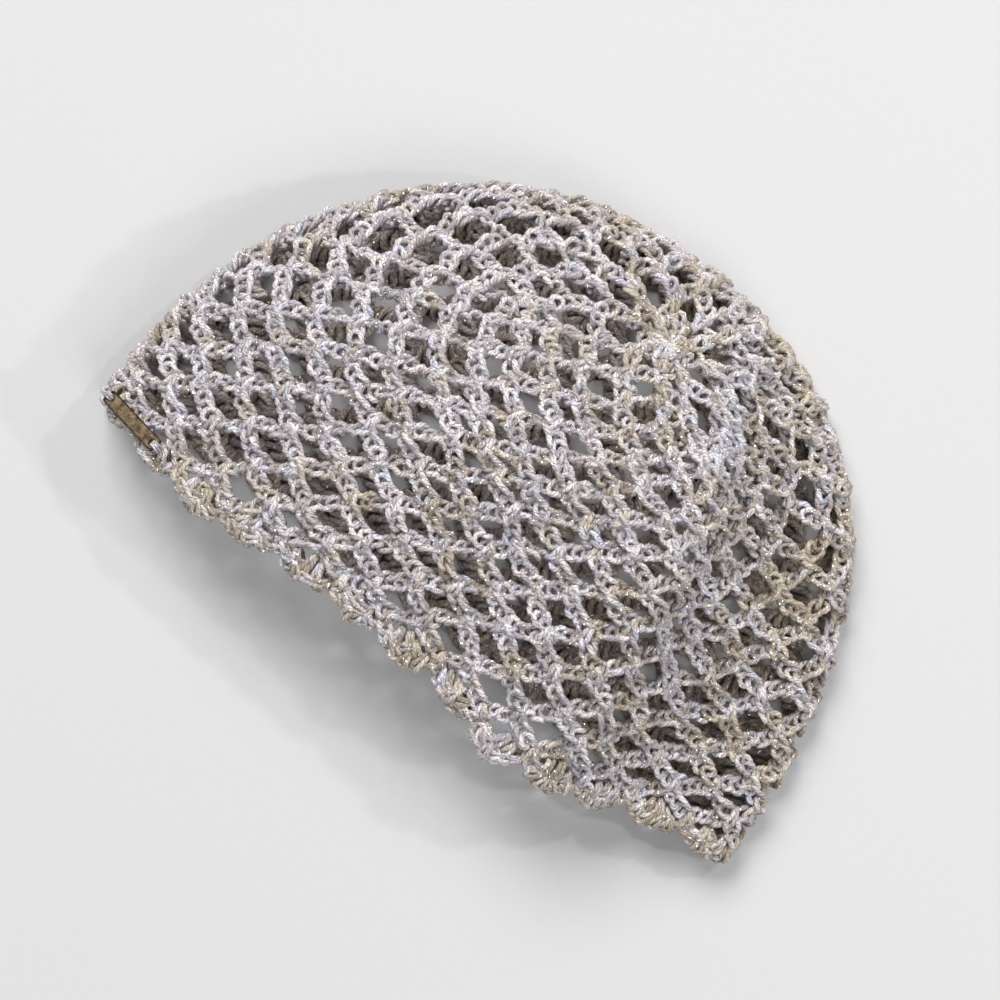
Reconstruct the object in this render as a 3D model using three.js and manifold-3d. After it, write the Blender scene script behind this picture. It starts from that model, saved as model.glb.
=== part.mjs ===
// A crocheted net hat that lies on its side on a surface.
// Millimetres, +Z up. The brim runs along X, the crown lies towards +Y, and the under side is flat on z = 0.
import * as THREE from 'three';
import { mergeVertices } from 'three/addons/utils/BufferGeometryUtils.js';
import Module from 'manifold-3d';

const wasm = await Module();
wasm.setup();

// Outline of the lying hat, seen from above
const HALF_WIDTH = 139.2; // half of the brim's width
const DEPTH = 165.2; // from the brim line to the top fold
const FULLNESS = 2.2; // 2 is a plain ellipse, and more makes the shoulders of the outline fuller
const TOP_SHIFT = 5; // the top of the outline lies this far to the right
const CROWN_SHIFT = 7; // the crown's centre lies this much further to the right
const TOP_SPAN = { from: 0.3, to: 0.95 }; // the shift grows over these depths of the unit dome
const CROWN_HEIGHT = 0.56; // height of the crown's centre on the unit dome
const MOUTH_FADE = 3; // more keeps the brim's reach closer to the brim
const CROWN_TILT = 36.4; // degrees by which the crown's centre is turned up from the top fold
const TILT_HOLD = 1.3; // more keeps the inner rounds level with the crown's centre for longer
const TILT_FADE = 2.5; // more lets the turn fade sooner towards the brim
const LOWER_BRIM_RETREAT = 5; // the lower edge of the mouth stays this far behind the brim line
const UPPER_BRIM_SECTIONS = [ // and the upper edge reaches this far past it
  { x: -139, reach: 12 },
  { x: -85, reach: 15.5 },
  { x: -35, reach: 10.5 },
  { x: 8, reach: 10.5 },
  { x: 48, reach: 20 },
  { x: 76, reach: 17.5 },
  { x: 104, reach: 8 },
  { x: 139, reach: 2 },
];

// Heights of the lying hat
const LEFT_FOLD_HEIGHT = 13; // height of the outermost line of the left fold
const RIGHT_FOLD_HEIGHT = 9;
const FOLD_SPAN = { from: -60, to: 100 }; // x over which the left height turns into the right one
const FLAT_FROM = 0.42; // share of the under side's depth at which it is flat on the surface
const SLACK_KEEP = 0.52; // the slack right end keeps this share of the height
const SLACK_WIDTH = 42;
const SLACK_LEAD = 6; // the slack starts this far left of the ridge
const HEIGHT_SECTIONS = [
  { y: -20, top: 43 },
  { y: 30, top: 56 },
  { y: 75, top: 69 },
  { y: 125, top: 71.5 },
  { y: 175, top: 72.5 },
];
const RIDGE_SECTIONS = [
  { y: -20, x: 66, rise: 0 },
  { y: 35, x: 64, rise: 2.5 },
  { y: 66, x: 60, rise: 8 },
  { y: 91, x: 56, rise: 11 },
  { y: 112, x: 48, rise: 11 },
  { y: 137, x: 36, rise: 8.5 },
  { y: 175, x: 31, rise: 5 },
];
const RIDGE_WIDTH = 8.5;
const DENTS = [
  { x: -72, y: 34, length: 38, width: 13, turn: 62, rise: -4.5 },
  { x: -38, y: 82, length: 40, width: 15, turn: 115, rise: -3.5 },
  { x: 14, y: 44, length: 36, width: 13, turn: 80, rise: -3.5 },
  { x: 96, y: 60, length: 34, width: 13, turn: 100, rise: 3.5 },
  { x: 84, y: 112, length: 26, width: 12, turn: 130, rise: -3 },
];

// The rounds of the net, from the crown's centre to the brim
const ROUNDS = 19;
const FRONT_ROUNDS = [ // where a round crosses the upper front, in degrees from the dome's axis
  { round: 0, angle: CROWN_TILT },
  { round: 3, angle: 50 },
  { round: 7, angle: 61 },
  { round: ROUNDS, angle: 90 },
];
const CROWN_ROUNDS = 6;
const EDGING_ROUNDS = 1.2;
const SCALLOPS = 26; // free loops round the brim
const SCALLOP_DEPTH = 0.75; // in rounds
const START_RING = 0.35; // the open centre of the crown, in rounds

// Walls
const WALL = 3.2;
const GAP = 0.3; // between a strand and what it passes
const SEAM_GAP = 0.8; // between two walls on the outer face, less where the inner faces close up in a fold
const WALL_COLUMNS = 48;
const BRIM_COLUMNS = SCALLOPS * 4;
const WALL_ROWS = { crown: 7, side: 15, brim: 2 };
const RING_SAMPLES = 240;
const NORMAL_REACH = { rounds: 0.2, share: 0.01 }; // how far to either side the wall's slope is read

// The plate and its stitches
const PLATE = { length: 28.2, width: 5.4, thickness: 1.2, corner: 0.9, rim: 0.55, recess: 0.35 };
const PLATE_HOLE = { radius: 1.4, inset: 2.1, sides: 20 };
const PLATE_PLACE = { round: 18.3, share: 0.209, lift: 2.9, turn: 3, roll: -20 };
const PLATE_SLOPE = { above: 1, below: 0.3 }; // rounds to either side over which its slope is read
const STITCH_RADIUS = 0.6;
const STITCH_REACH = 1.6; // below the plate
const STITCH_RISE = 0.6; // share of the plate's thickness up to which the strand is upright in its hole
const STITCH_BOW = { past_hole: 1.1, rise: 0.25, before_end: 0.35, drop: 0.1, slack: 0.4 };

// Middle of the lying hat's bounding box, which becomes the origin
const BOX_MIDDLE = { x: 0, y: 73.2 };

function smooth(low, high, value) {
  const t = THREE.MathUtils.clamp((value - low) / (high - low), 0, 1);
  return t * t * (3 - 2 * t);
}

// The value of a table's column between two rows, smooth from row to row
function readTable(rows, place, column, at) {
  if (at <= rows[0][place]) return rows[0][column];
  for (let i = 1; i < rows.length; i += 1) {
    if (at <= rows[i][place]) {
      const share = smooth(rows[i - 1][place], rows[i][place], at);
      return THREE.MathUtils.lerp(rows[i - 1][column], rows[i][column], share);
    }
  }
  return rows[rows.length - 1][column];
}

// Raised or sunk places of the upper side
function dentRise(x, y) {
  let rise = 0;
  for (const dent of DENTS) {
    const turn = THREE.MathUtils.degToRad(dent.turn);
    const along = (x - dent.x) * Math.cos(turn) + (y - dent.y) * Math.sin(turn);
    const across = (y - dent.y) * Math.cos(turn) - (x - dent.x) * Math.sin(turn);
    rise += dent.rise * Math.exp(-((along / dent.length) ** 2) - (across / dent.width) ** 2);
  }
  return rise;
}

function upperHeight(x, y) {
  const ridge = readTable(RIDGE_SECTIONS, 'y', 'x', y);
  const slack = THREE.MathUtils.lerp(1, SLACK_KEEP, smooth(ridge - SLACK_LEAD, ridge + SLACK_WIDTH, x));
  const fold = readTable(RIDGE_SECTIONS, 'y', 'rise', y) * Math.exp(-(((x - ridge) / RIDGE_WIDTH) ** 2));
  return readTable(HEIGHT_SECTIONS, 'y', 'top', y) * slack + fold + dentRise(x, y);
}

// A direction on the unit dome (x right, y crown, z up) becomes a point of the lying hat's outer face
function hatPoint(dome) {
  const flat = Math.hypot(dome.x, dome.y) || 1;
  const cx = Math.abs(dome.x) / flat;
  const cy = Math.abs(dome.y) / flat;
  const shoulder = (cx ** FULLNESS + cy ** FULLNESS) ** (-1 / FULLNESS);
  const top = smooth(TOP_SPAN.from, TOP_SPAN.to, dome.y);
  const mouth = (1 - Math.min(dome.y, 1)) ** MOUTH_FADE;
  const shift = TOP_SHIFT + CROWN_SHIFT * Math.max(dome.z, 0) / CROWN_HEIGHT;
  const x = HALF_WIDTH * dome.x * shoulder + top * shift;
  const reach = dome.z > 0 ? readTable(UPPER_BRIM_SECTIONS, 'x', 'reach', x) : LOWER_BRIM_RETREAT;
  const y = DEPTH * dome.y * shoulder - reach * dome.z * mouth;
  const toRight = smooth(FOLD_SPAN.from, FOLD_SPAN.to, x);
  const fold = THREE.MathUtils.lerp(LEFT_FOLD_HEIGHT, RIGHT_FOLD_HEIGHT, toRight);
  if (dome.z >= 0) {
    return new THREE.Vector3(x, y, fold + (upperHeight(x, y) - fold) * dome.z);
  }
  const share = Math.max(1 + dome.z / FLAT_FROM, 0);
  return new THREE.Vector3(x, y, fold * (1 - Math.sqrt(1 - share * share)));
}

// Where a round crosses the upper front, as an angle from the dome's axis
function frontAngle(round) {
  const next = Math.max(FRONT_ROUNDS.findIndex((row) => row.round >= round), 1);
  const [low, high] = [FRONT_ROUNDS[next - 1], FRONT_ROUNDS[next]];
  const share = (round - low.round) / (high.round - low.round);
  return THREE.MathUtils.degToRad(THREE.MathUtils.lerp(low.angle, high.angle, share));
}

// One round as a loop of points, from the middle of the upper front, anticlockwise seen from the crown
function roundLoop(round) {
  const faded = (1 - (round / ROUNDS) ** TILT_HOLD) ** TILT_FADE;
  const tilt = THREE.MathUtils.degToRad(CROWN_TILT) * faded;
  const reach = frontAngle(round) - tilt;
  const loop = [];
  for (let i = 0; i < RING_SAMPLES; i += 1) {
    const turn = Math.PI / 2 + (i / RING_SAMPLES) * Math.PI * 2;
    const dome = new THREE.Vector3(
      Math.sin(reach) * Math.cos(turn),
      Math.cos(reach),
      Math.sin(reach) * Math.sin(turn),
    ).applyAxisAngle(new THREE.Vector3(1, 0, 0), tilt);
    loop.push(hatPoint(dome));
  }
  return loop;
}

const loopCache = new Map();

// The point of a round at a share of its length, so that stitches keep their width all round
function netPoint(round, share) {
  const key = round.toFixed(4);
  if (!loopCache.has(key)) {
    const loop = roundLoop(round);
    const lengths = [0];
    for (let i = 0; i < RING_SAMPLES; i += 1) {
      lengths.push(lengths[i] + loop[i].distanceTo(loop[(i + 1) % RING_SAMPLES]));
    }
    loopCache.set(key, { loop, lengths });
  }
  const { loop, lengths } = loopCache.get(key);
  const wanted = (((share % 1) + 1) % 1) * lengths[RING_SAMPLES];
  let i = 0;
  while (lengths[i + 1] < wanted) i += 1;
  const t = (wanted - lengths[i]) / (lengths[i + 1] - lengths[i]);
  return new THREE.Vector3().lerpVectors(loop[i], loop[(i + 1) % RING_SAMPLES], t);
}

// The same place on the wall's inner face
function innerPoint(round, share) {
  const low = Math.max(round - NORMAL_REACH.rounds, START_RING / 2);
  const high = Math.min(round + NORMAL_REACH.rounds, ROUNDS);
  const along = netPoint(high, share).sub(netPoint(low, share));
  const before = netPoint(round, share - NORMAL_REACH.share);
  const around = netPoint(round, share + NORMAL_REACH.share).sub(before);
  const normal = new THREE.Vector3().crossVectors(around, along).normalize();
  return netPoint(round, share).addScaledVector(normal, -WALL);
}

// A closed wall between two edges of the net, each a function of the share round the hat
function wallGeometry(startRound, endRound, rows, columns) {
  const positions = [];
  const indices = [];
  const index = (side, row, column) => (side * (rows + 1) + row) * columns + (column % columns);
  for (const place of [netPoint, innerPoint]) {
    for (let row = 0; row <= rows; row += 1) {
      for (let column = 0; column < columns; column += 1) {
        const share = column / columns;
        const round = THREE.MathUtils.lerp(startRound(share), endRound(share), row / rows);
        positions.push(...place(round, share).toArray());
      }
    }
  }
  const quad = (a, b, c, d) => indices.push(a, b, c, a, c, d);
  for (let column = 0; column < columns; column += 1) {
    const next = column + 1;
    for (let row = 0; row < rows; row += 1) {
      quad(index(0, row, column), index(0, row, next), index(0, row + 1, next), index(0, row + 1, column));
      quad(index(1, row, column), index(1, row + 1, column), index(1, row + 1, next), index(1, row, next));
    }
    quad(index(0, 0, column), index(1, 0, column), index(1, 0, next), index(0, 0, next));
    quad(index(0, rows, column), index(0, rows, next), index(1, rows, next), index(1, rows, column));
  }
  const geometry = new THREE.BufferGeometry();
  geometry.setAttribute('position', new THREE.Float32BufferAttribute(positions, 3));
  geometry.setIndex(indices);
  geometry.computeVertexNormals();
  return geometry;
}

function roundedBar(length, width, corner) {
  const shape = new THREE.Shape();
  const x = length / 2;
  const y = width / 2;
  shape.moveTo(-x + corner, -y);
  shape.lineTo(x - corner, -y);
  shape.absarc(x - corner, -y + corner, corner, -Math.PI / 2, 0);
  shape.lineTo(x, y - corner);
  shape.absarc(x - corner, y - corner, corner, 0, Math.PI / 2);
  shape.lineTo(-x + corner, y);
  shape.absarc(-x + corner, y - corner, corner, Math.PI / 2, Math.PI);
  shape.lineTo(-x, -y + corner);
  shape.absarc(-x + corner, -y + corner, corner, Math.PI, Math.PI * 1.5);
  return shape;
}

function toManifold(geometry) {
  geometry.deleteAttribute('normal');
  geometry.deleteAttribute('uv');
  const merged = mergeVertices(geometry, 1e-5);
  return new wasm.Manifold(new wasm.Mesh({
    numProp: 3,
    vertProperties: new Float32Array(merged.attributes.position.array),
    triVerts: new Uint32Array(merged.index.array),
  }));
}

function fromManifold(solid) {
  const mesh = solid.getMesh();
  const geometry = new THREE.BufferGeometry();
  geometry.setAttribute('position', new THREE.BufferAttribute(mesh.vertProperties, 3));
  geometry.setIndex(new THREE.BufferAttribute(mesh.triVerts, 1));
  geometry.computeVertexNormals();
  return geometry;
}

const holeX = PLATE.length / 2 - PLATE_HOLE.inset;

// A bar with a sunk face, a raised edge and a hole at each end
function plateGeometry() {
  const curveSegments = 6;
  const bar = new THREE.ExtrudeGeometry(
    roundedBar(PLATE.length, PLATE.width, PLATE.corner),
    { depth: PLATE.thickness, bevelEnabled: false, curveSegments },
  );
  const sunk = new THREE.ExtrudeGeometry(
    roundedBar(PLATE.length - 2 * PLATE.rim, PLATE.width - 2 * PLATE.rim, PLATE.corner - PLATE.rim / 2),
    { depth: PLATE.thickness, bevelEnabled: false, curveSegments },
  );
  sunk.translate(0, 0, PLATE.thickness - PLATE.recess);
  let solid = toManifold(bar).subtract(toManifold(sunk));
  for (const side of [-1, 1]) {
    const drill = new THREE.CylinderGeometry(
      PLATE_HOLE.radius, PLATE_HOLE.radius, PLATE.thickness * 3, PLATE_HOLE.sides,
    );
    drill.rotateX(Math.PI / 2);
    drill.translate(side * holeX, 0, PLATE.thickness / 2);
    solid = solid.subtract(toManifold(drill));
  }
  return fromManifold(solid);
}

// A strand that comes up through the hole and goes down past the plate's end
function stitchGeometry(side) {
  const end = side * (PLATE.length / 2 + STITCH_RADIUS + GAP + STITCH_BOW.slack);
  const over = PLATE.thickness + STITCH_RADIUS + GAP;
  const curve = new THREE.CatmullRomCurve3([
    new THREE.Vector3(side * holeX, 0, -STITCH_REACH),
    new THREE.Vector3(side * holeX, 0, PLATE.thickness * STITCH_RISE),
    new THREE.Vector3(side * (holeX + STITCH_BOW.past_hole), 0, over + STITCH_BOW.rise),
    new THREE.Vector3(end - side * STITCH_BOW.before_end, 0, over - STITCH_BOW.drop),
    new THREE.Vector3(end, 0, 0),
    new THREE.Vector3(end, 0, -STITCH_REACH),
  ]);
  const section = new THREE.Shape().absarc(0, 0, STITCH_RADIUS, 0, Math.PI * 2);
  return new THREE.ExtrudeGeometry(section, { steps: 16, extrudePath: curve, curveSegments: 8 });
}

// The plate's place: its length along the brim, its face away from the wall and rolled upwards
function plateFrame() {
  const { round, share, lift, turn, roll } = PLATE_PLACE;
  const loopLength = roundLoop(round).reduce((sum, point, i, loop) => (
    sum + point.distanceTo(loop[(i + 1) % loop.length])
  ), 0);
  const half = PLATE.length / 2 / loopLength;
  const left = netPoint(round, share + half);
  const right = netPoint(round, share - half);
  const along = right.clone().sub(left).normalize();
  const toCrown = netPoint(round - PLATE_SLOPE.above, share).sub(netPoint(round + PLATE_SLOPE.below, share));
  const face = new THREE.Vector3().crossVectors(along, toCrown).normalize();
  const across = new THREE.Vector3().crossVectors(face, along);
  const middle = left.add(right).multiplyScalar(0.5).addScaledVector(face, lift);
  return new THREE.Matrix4().makeBasis(along, across, face).setPosition(middle)
    .multiply(new THREE.Matrix4().makeRotationZ(THREE.MathUtils.degToRad(turn)))
    .multiply(new THREE.Matrix4().makeRotationX(THREE.MathUtils.degToRad(roll)));
}

const yarn = () => new THREE.MeshStandardMaterial({ color: 0xb9b4ac, roughness: 0.85, metalness: 0 });
const bronze = new THREE.MeshStandardMaterial({ color: 0x6b563a, roughness: 0.45, metalness: 0.9 });

function namedMesh(name, geometry, material) {
  const mesh = new THREE.Mesh(geometry, material);
  mesh.name = name;
  return mesh;
}

// Half of the gap between two walls, in rounds, where the seam crosses that share of the hat
function halfGap(round, share) {
  return SEAM_GAP / 2 / netPoint(round + 0.5, share).distanceTo(netPoint(round - 0.5, share));
}

const sideEnd = ROUNDS - EDGING_ROUNDS;
const scallopEdge = (share) => ROUNDS - SCALLOP_DEPTH * (1 - Math.abs(Math.cos(Math.PI * SCALLOPS * share)));

const hat = new THREE.Group();
hat.add(namedMesh('crown_net', wallGeometry(
  () => START_RING, (share) => CROWN_ROUNDS - halfGap(CROWN_ROUNDS, share), WALL_ROWS.crown, WALL_COLUMNS,
), yarn()));
hat.add(namedMesh('side_net', wallGeometry(
  (share) => CROWN_ROUNDS + halfGap(CROWN_ROUNDS, share),
  (share) => sideEnd - halfGap(sideEnd, share),
  WALL_ROWS.side, WALL_COLUMNS,
), yarn()));
hat.add(namedMesh('brim_edging', wallGeometry(
  (share) => sideEnd + halfGap(sideEnd, share), scallopEdge, WALL_ROWS.brim, BRIM_COLUMNS,
), yarn()));

const tag = new THREE.Group();
tag.add(namedMesh('name_tag_plate', plateGeometry(), bronze));
tag.add(namedMesh('tag_stitch_left', stitchGeometry(-1), yarn()));
tag.add(namedMesh('tag_stitch_right', stitchGeometry(1), yarn()));
tag.applyMatrix4(plateFrame());
hat.add(tag);
hat.position.set(-BOX_MIDDLE.x, -BOX_MIDDLE.y, 0);

const part = new THREE.Group();
part.add(hat);

export default part;
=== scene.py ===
import math

import bpy
import numpy as np
from mathutils import Matrix, Vector


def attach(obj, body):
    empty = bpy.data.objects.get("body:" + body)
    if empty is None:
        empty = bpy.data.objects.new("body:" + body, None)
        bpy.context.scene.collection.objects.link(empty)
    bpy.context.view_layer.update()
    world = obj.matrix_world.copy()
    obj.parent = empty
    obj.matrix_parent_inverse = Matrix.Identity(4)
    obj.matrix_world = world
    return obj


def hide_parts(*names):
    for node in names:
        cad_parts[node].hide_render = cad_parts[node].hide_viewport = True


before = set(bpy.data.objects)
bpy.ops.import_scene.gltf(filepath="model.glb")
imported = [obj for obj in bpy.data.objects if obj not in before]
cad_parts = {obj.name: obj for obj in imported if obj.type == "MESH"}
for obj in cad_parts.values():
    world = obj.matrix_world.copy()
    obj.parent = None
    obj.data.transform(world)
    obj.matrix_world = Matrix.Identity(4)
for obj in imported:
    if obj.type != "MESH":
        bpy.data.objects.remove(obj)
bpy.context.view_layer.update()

MM = 0.001
SEED = 21
rng = np.random.default_rng(SEED)

# Outline of the lying hat from above, in millimetres, as the CAD walls have it
HALF_WIDTH = 139.2
DEPTH = 165.2
FULLNESS = 2.2  # 2 is a plain ellipse, and more makes the shoulders of the outline fuller
TOP_SHIFT = 5.0  # the top of the outline lies this far to the right
CROWN_SHIFT = 7.0  # the crown's centre lies this much further to the right
TOP_SPAN = (0.3, 0.95)  # the shift grows over these depths of the unit dome
CROWN_HEIGHT = 0.56  # height of the crown's centre on the unit dome
MOUTH_FADE = 3  # more keeps the brim's reach closer to the brim
CROWN_TILT = 36.4  # degrees by which the crown's centre is turned up from the top fold
TILT_HOLD = 1.3  # more keeps the inner rounds level with the crown's centre for longer
TILT_FADE = 2.5  # more lets the turn fade sooner towards the brim
LOWER_BRIM_RETREAT = 5.0
UPPER_BRIM_SECTIONS = [
    {"x": -139, "reach": 12},
    {"x": -85, "reach": 15.5},
    {"x": -35, "reach": 10.5},
    {"x": 8, "reach": 10.5},
    {"x": 48, "reach": 20},
    {"x": 76, "reach": 17.5},
    {"x": 104, "reach": 8},
    {"x": 139, "reach": 2},
]

# Heights of the lying hat
LEFT_FOLD_HEIGHT = 13.0
RIGHT_FOLD_HEIGHT = 9.0
FOLD_SPAN = (-60.0, 100.0)  # x over which the left height turns into the right one
FLAT_FROM = 0.42  # share of the under side's depth at which it is flat on the surface
SLACK_KEEP = 0.52  # the slack right end keeps this share of the height
SLACK_WIDTH = 42.0
SLACK_LEAD = 6.0  # the slack starts this far left of the ridge
HEIGHT_SECTIONS = [
    {"y": -20, "top": 43},
    {"y": 30, "top": 56},
    {"y": 75, "top": 69},
    {"y": 125, "top": 71.5},
    {"y": 175, "top": 72.5},
]
RIDGE_SECTIONS = [
    {"y": -20, "x": 66, "rise": 0},
    {"y": 35, "x": 64, "rise": 2.5},
    {"y": 66, "x": 60, "rise": 8},
    {"y": 91, "x": 56, "rise": 11},
    {"y": 112, "x": 48, "rise": 11},
    {"y": 137, "x": 36, "rise": 8.5},
    {"y": 175, "x": 31, "rise": 5},
]
RIDGE_WIDTH = 8.5
DENTS = [
    {"x": -72, "y": 34, "length": 38, "width": 13, "turn": 62, "rise": -4.5},
    {"x": -38, "y": 82, "length": 40, "width": 15, "turn": 115, "rise": -3.5},
    {"x": 14, "y": 44, "length": 36, "width": 13, "turn": 80, "rise": -3.5},
    {"x": 96, "y": 60, "length": 34, "width": 13, "turn": 100, "rise": 3.5},
    {"x": 84, "y": 112, "length": 26, "width": 12, "turn": 130, "rise": -3},
]
BOX_MIDDLE = np.array([0.0, 73.2, 0.0])  # middle of the hat's box, which is the origin

# The net: rounds of chain loops, each loop held at its middle by a stitch of the next round
ROUNDS = 19
FRONT_ROUNDS = [  # where a round crosses the upper front, in degrees from the dome's axis
    {"round": 0, "angle": CROWN_TILT},
    {"round": 3, "angle": 50},
    {"round": 7, "angle": 61},
    {"round": ROUNDS, "angle": 90},
    {"round": ROUNDS + 12, "angle": 119},  # past the brim, where the free loops reach
]
LOOP_COUNTS = {0: 6, 1: 9, 2: 16, 3: 21, 4: 25, 5: 26}  # and 26 in every round from there
FOOT_ROUNDS = ROUNDS - 1
START_RING_AT = 0.30
START_RING_STEPS = 60
FOOT_HALF = 0.17  # half of a foot's length, in rounds
FOOT_WANDER_ROUND = 0.09
FOOT_WANDER_SHARE = 0.05
ONE_FOOT = (0.5,)  # where the next round's feet sit on a loop
TWO_FEET = (0.27, 0.73)
EVENING = 0.35  # how far each round's feet move towards even spacing
HELD_ARC_FALL = 1.15
FREE_ARC_FALL = 1.45
LOOP_SLACK = 0.05
ROUTE_STEPS = 24
NET_DEPTH = 2.3  # from the outer face to the middle of the net, in millimetres

# The free loops at the brim and the stitches that fill them, in rounds and in shares of a loop
FREE_LOOP_DROP = 0.76
FREE_LOOP_UNEVEN = 0.06
EDGE_STITCHES = (0.22, 0.41, 0.59, 0.78)
EDGE_UNEVEN = 2.5
EDGE_SLANT = 0.75  # radians
LOBE_FILLING = (
    {"across": 0.33, "below_foot": 0.30},
    {"across": 0.50, "below_foot": 0.16},
    {"across": 0.52, "below_foot": 0.42},
    {"across": 0.69, "below_foot": 0.28},
)

# The yarn, in millimetres, with swellings that come and go along it
YARN = 1.03  # radius
STITCH_YARN = YARN * 0.95
YARN_SIDES = 6
SLUBS = ({"size": 0.05, "over": 2.3, "phase": 0.0}, {"size": 0.04, "over": 7.9, "phase": 1.0})
LONGEST_START = 4000.0  # a piece's yarn starts somewhere up to here along its colours
ANY_DIRECTION = (0.31, 0.54, 0.78)
CENTIMETRE = 10.0
FLOOR_CLEARANCE = 0.03
PRESSED_BELOW = 11.0  # under this height the hat's weight presses the yarn wider and thicker
PRESSED_FULLY = PRESSED_BELOW / 3
PRESSED_WIDER = 0.5
PRESSED_THICKER = 0.22

# A chain, in millimetres: along it the yarn swings to and fro once and dips twice for each stitch
CHAIN_PITCH = 3.5
CHAIN_FEWEST = 3
CHAIN_STEPS = 13
CHAIN_LEAD = 0.22  # stitches past each end
CHAIN_SWING = 0.90
CHAIN_HALF_WIDTH = 2.45
CHAIN_DEPTH = 1.5
CHAIN_UNEVEN = {"swing": 0.06, "width": 0.11}
CHAIN_ACROSS_PHASE = -0.56  # phases are in half turns
CHAIN_DIPS = ({"waves": 2.0, "size": 0.75, "phase": -0.24}, {"waves": 1.0, "size": 0.4, "phase": -0.62})
CHAIN_WANDER = 0.55
CHAIN_WANDER_RATES = {"across": 2.3, "out": 1.7, "roll": 1.1}  # radians for each stitch
CHAIN_ROLL_WANDER = 0.4
CHAIN_ROLLS = (0.95, 0.95, 0.7, 0.1, -0.05, 0.0)  # turned on its side where it leaves a foot
CHAIN_ROLL_UNEVEN = 0.3
FIRST_HALF_LIFT = -0.7
SECOND_HALF_LIFT = 1.0
LIFT_SPAN = (0.4, 0.65)
SLOPE_REACH = 0.4

# The stitch that holds a loop, in millimetres: two legs round the chain and a head
POST_STEPS = 12
POST_LIFT = 0.1
POST_UNEVEN = {"lean": 0.3, "lift": 0.15, "reach": 0.2}
LEG = {"reach": 2.9, "back": 0.3, "spread": 0.95, "bulge": 0.45, "height": 2.3}
HEAD = {"ahead": 1.6, "half_length": 1.2, "half_width": 2.2, "height": 0.6, "dip": 0.5}

# The plate and its strands, in millimetres, with a strand's heights from the plate's back
PLATE = {"length": 28.2, "thickness": 1.2, "recess": 0.35}
PLATE_PLACE = {"round": 18.3, "share": 0.209, "lift": 2.9, "turn": 3.0, "roll": -20.0}
PLATE_SLOPE = {"above": 1.0, "below": 0.3}  # rounds to either side over which its slope is read
PLATE_STRAND = 0.46
PLATE_STRANDS = (
    {"shift": -0.80, "rise": 0.05},
    {"shift": 0.03, "rise": 0.30},
    {"shift": 0.84, "rise": 0.00},
)
STRAND_STOPS = (  # up through the hole, over the plate's end and down
    {"past_end": -1.7, "spread": 0.70, "height": -2.60, "rises": 0},
    {"past_end": -1.7, "spread": 0.80, "height": 0.72, "rises": 0},
    {"past_end": -1.0, "spread": 0.95, "height": 1.76, "rises": 1},
    {"past_end": 0.7, "spread": 1.10, "height": 1.56, "rises": 1},
    {"past_end": 1.2, "spread": 1.20, "height": 0.20, "rises": 0},
    {"past_end": 0.9, "spread": 1.20, "height": -2.80, "rises": 0},
)
STRAND_STEPS = 40

# What the yarn is made of: rates are repeats round it, and repeats for each centimetre along it
PLIES = {"around": 3.0, "along": 4.8, "wander": 1.6, "roundness": 0.6}
FIBRES = {"around": 6.0, "along": 9.6, "stretch": 3.0, "rise": 0.5}
FILAMENT = {"along": 4.4, "wander": 0.3, "edge": (0.06, 0.09), "breaks": (0.36, 0.44), "lean": 1.7}
YARN_RELIEF = 0.22 * MM
COTTON_ROUGHNESS = 0.62
FILAMENT_SMOOTHER = 0.46

# The yarn's shading and colours: starts are centimetres along it, so that each noise is another one
SHADE = {"span": (0.0, 0.55), "ridge": 0.6, "groove": 0.4, "fibres": 0.9, "between_fibres": 0.55}
PALE = {"start": 40.0, "span": (0.36, 0.66)}
HUE = {"start": 90.0, "span": (0.30, 0.56)}
YARN_COLOURS = {
    "bluish": (0.73, 0.75, 0.87),
    "rosy": (0.87, 0.80, 0.78),
    "grey": (0.45, 0.405, 0.43),
    "khaki": (0.33, 0.265, 0.19),
    "sand": (0.65, 0.56, 0.435),
    "painted_shade_brown": (0.22, 0.15, 0.105),
    "painted_shade_tan": (0.44, 0.33, 0.23),
    "filament": (0.87, 0.865, 0.845),
}
# How warm the yarn is: its own tints and patches, and the side towards the right and the crown, which is
# partly its own colour and partly painted warm shade
WARMTH = {"tint": 0.6, "patch": 0.5, "side": 0.11, "span": (0.54, 0.72)}
WARM_AND_SHADED_SIDE = {"lean": 0.8, "span": (-0.06, 0.16)}

# The crest of the fold, where a painted highlight makes the yarn paler and bluer, and the painted shade that
# makes the yarn darker and browner low down, in metres
CREST_HIGHLIGHT = {"at": 0.0725, "lean": 0.345, "wander": 0.03, "edge": (0.001, 0.008), "strength": 0.45, "paler": 0.5}
CREST_HIGHLIGHT_SPAN = (-0.030, 0.0)
PAINTED_LOW_SHADE = {"span": (0.019, 0.010), "wander": 0.012, "strength": 0.65}

# The plate's bronze, which is smoother where it is worn
BRONZE = {"wear": 0.6, "stain": 0.5, "span": (0.42, 0.72), "roughness": 0.55, "smoother": 0.17}
BRONZE_RELIEF = 0.05 * MM

# The photo's frame and the camera, which looks straight down
PHOTO_WIDTH = 1000  # pixels
PIXELS_PER_MM = 2.8
CAMERA_DISTANCE = 1.1
CAMERA_TURN = 37.1  # degrees
CAMERA_TARGET = (-3.1, -18.4, 12.0)  # millimetres
SENSOR_WIDTH = 36.0

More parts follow.
